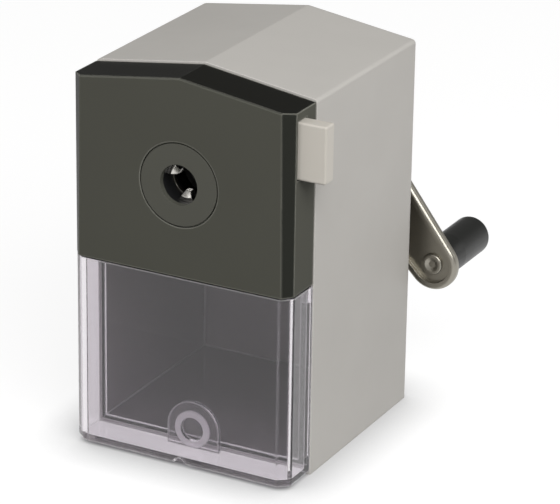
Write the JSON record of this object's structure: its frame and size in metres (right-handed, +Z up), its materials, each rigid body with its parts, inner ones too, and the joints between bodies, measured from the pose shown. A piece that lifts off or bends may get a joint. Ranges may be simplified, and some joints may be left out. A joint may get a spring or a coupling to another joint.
{
  "type": "crank pencil sharpener",
  "caption": "Desk-top crank pencil sharpener with a grey gable-topped housing, a pull-out dark hood, a clear chip drawer and a rear crank.",
  "frame": {"origin": "centre of the housing's footprint, on the surface that it stands on", "axes": "+Z up, +Y towards the crank at the rear, +X to the right seen from the front"},
  "size_m": [0.0726, 0.0997, 0.1044],
  "materials": {
    "light_plastic": "satin",
    "dark_plastic": "satin",
    "clear_plastic": "clear, smoky, polished",
    "black_plastic": "satin",
    "acetal": "matte",
    "plated_steel": "nickel plated",
    "bright_steel": "polished",
    "tool_steel": "ground",
    "die_cast": "as cast",
    "rubber": "matte"
  },
  "bodies": {
    "base": {"housing_shell": "light_plastic", "base_pads": "rubber", "rear_bush": "acetal", "mechanism_plate": "black_plastic", "plate_screws": "plated_steel", "guide_bushes": "acetal", "ring_gear": "acetal", "gear_screws": "plated_steel"},
    "carriage": {"hood_cover": "dark_plastic", "face_disc": "dark_plastic", "chuck_body": "black_plastic", "chuck_screws": "plated_steel", "guide_rods": "bright_steel", "rod_clips": "plated_steel", "carriage_spring_left": "bright_steel", "carriage_spring_right": "bright_steel"},
    "release": {"release_button": "light_plastic", "cam_plate": "plated_steel", "button_spring": "bright_steel"},
    "jaw_a": {"jaw_1": "bright_steel"},
    "jaw_b": {"jaw_2": "bright_steel"},
    "jaw_c": {"jaw_3": "bright_steel"},
    "crank": {"cutter_carrier": "die_cast", "cutter_axle": "bright_steel", "crank_shaft": "bright_steel", "crank_arm": "plated_steel", "crank_screw": "plated_steel", "knob_pin": "plated_steel"},
    "cutter": {"helical_cutter": "tool_steel", "cutter_pinion": "tool_steel"},
    "knob": {"crank_knob": "black_plastic"},
    "drawer": {"chip_drawer": "clear_plastic"}
  },
  "joints": [
    {"name": "carriage_slide", "type": "slide", "parent": "base", "child": "carriage", "axis": [0, -1, 0], "range_m": [0, 0.025], "stiffness_N_per_m": 250, "springref_m": -0.012, "deforming": ["carriage_spring_left", "carriage_spring_right"]},
    {"name": "release_press", "type": "slide", "parent": "carriage", "child": "release", "axis": [-1, 0, 0], "range_m": [0, 0.005], "stiffness_N_per_m": 500, "springref_m": -0.004, "deforming": ["button_spring"]},
    {"name": "jaw_a_slide", "type": "slide", "parent": "carriage", "child": "jaw_a", "axis": [0, 0, -1], "range_m": [0, 0.002]},
    {"name": "jaw_b_slide", "type": "slide", "parent": "carriage", "child": "jaw_b", "axis": [0.866, 0, 0.5], "range_m": [0, 0.002]},
    {"name": "jaw_c_slide", "type": "slide", "parent": "carriage", "child": "jaw_c", "axis": [-0.866, 0, 0.5], "range_m": [0, 0.002]},
    {"name": "drawer_slide", "type": "slide", "parent": "base", "child": "drawer", "axis": [0, -1, 0], "range_m": [0, 0.05]},
    {"name": "crank_turn", "type": "hinge", "parent": "base", "child": "crank", "pos_m": [0, 0, 0.0764], "axis": [0, 1, 0], "continuous": true},
    {"name": "cutter_spin", "type": "hinge", "parent": "crank", "child": "cutter", "pos_m": [0, 0.04758, 0.0764], "axis": [0, 0.9848, -0.1736], "continuous": true},
    {"name": "knob_spin", "type": "hinge", "parent": "crank", "child": "knob", "pos_m": [0.03451, 0.03505, 0.03657], "axis": [0, 1, 0], "continuous": true}
  ],
  "couplings": [
    {"joint": "jaw_a_slide", "follows": "release_press", "ratio": 0.4},
    {"joint": "jaw_b_slide", "follows": "release_press", "ratio": 0.4},
    {"joint": "jaw_c_slide", "follows": "release_press", "ratio": 0.4},
    {"joint": "cutter_spin", "follows": "crank_turn", "ratio": -2.7692}
  ]
}
